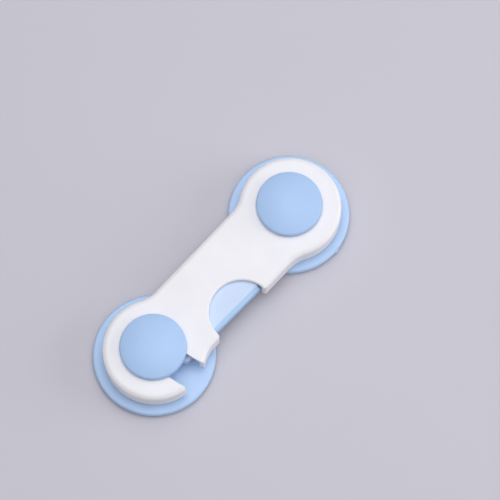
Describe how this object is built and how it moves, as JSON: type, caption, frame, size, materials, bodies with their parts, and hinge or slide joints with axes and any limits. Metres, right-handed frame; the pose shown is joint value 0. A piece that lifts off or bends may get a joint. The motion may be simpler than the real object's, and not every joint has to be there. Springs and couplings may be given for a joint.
{
  "type": "cabinet safety lock",
  "caption": "Adhesive cabinet safety lock: a swinging hooked arm on round stick-on bases with domed caps, held shut on its keeper post by a sprung press lever in a finger notch.",
  "frame": {"origin": "midway between the two posts, on the surface that the lock is stuck to", "axes": "+X from the keeper to the pivot, +Z out of the surface, and the hook's mouth and the press lever face -Y"},
  "size_m": [0.1046, 0.0403, 0.0173],
  "materials": {
    "arm_plastic": "satin moulded white",
    "base_plastic": "satin moulded pale blue",
    "cap_plastic": "fine matte moulded pale blue",
    "lever_plastic": "satin moulded light blue",
    "foam": "closed-cell foam tape",
    "liner_paper": "siliconised paper",
    "screw_steel": "zinc-plated",
    "spring_steel": "drawn wire"
  },
  "bodies": {
    "bases": {"keeper_base": "base_plastic", "keeper_cap": "cap_plastic", "keeper_cap_screw": "screw_steel", "keeper_adhesive_pad": "foam", "keeper_release_liner": "liner_paper", "pivot_base": "base_plastic", "pivot_cap": "cap_plastic", "pivot_cap_screw": "screw_steel", "pivot_adhesive_pad": "foam", "pivot_release_liner": "liner_paper"},
    "arm": {"arm_top_shell": "arm_plastic", "arm_bottom_cover": "arm_plastic", "arm_screws": "screw_steel", "latch_spring": "spring_steel"},
    "lever": {"latch_lever": "lever_plastic"}
  },
  "joints": [
    {"name": "arm_swing", "type": "hinge", "parent": "bases", "child": "arm", "pos_m": [0.03235, 0, 0.00895], "axis": [0, 0, -1], "range_deg": [0, 335]},
    {"name": "latch_press", "type": "hinge", "parent": "arm", "child": "lever", "pos_m": [-0.02035, 0.0076, 0.00885], "axis": [0, 0, 1], "range_deg": [0, 8], "stiffness_Nm_per_rad": 0.05, "springref_deg": -34.38, "deforming": ["latch_spring"]}
  ]
}
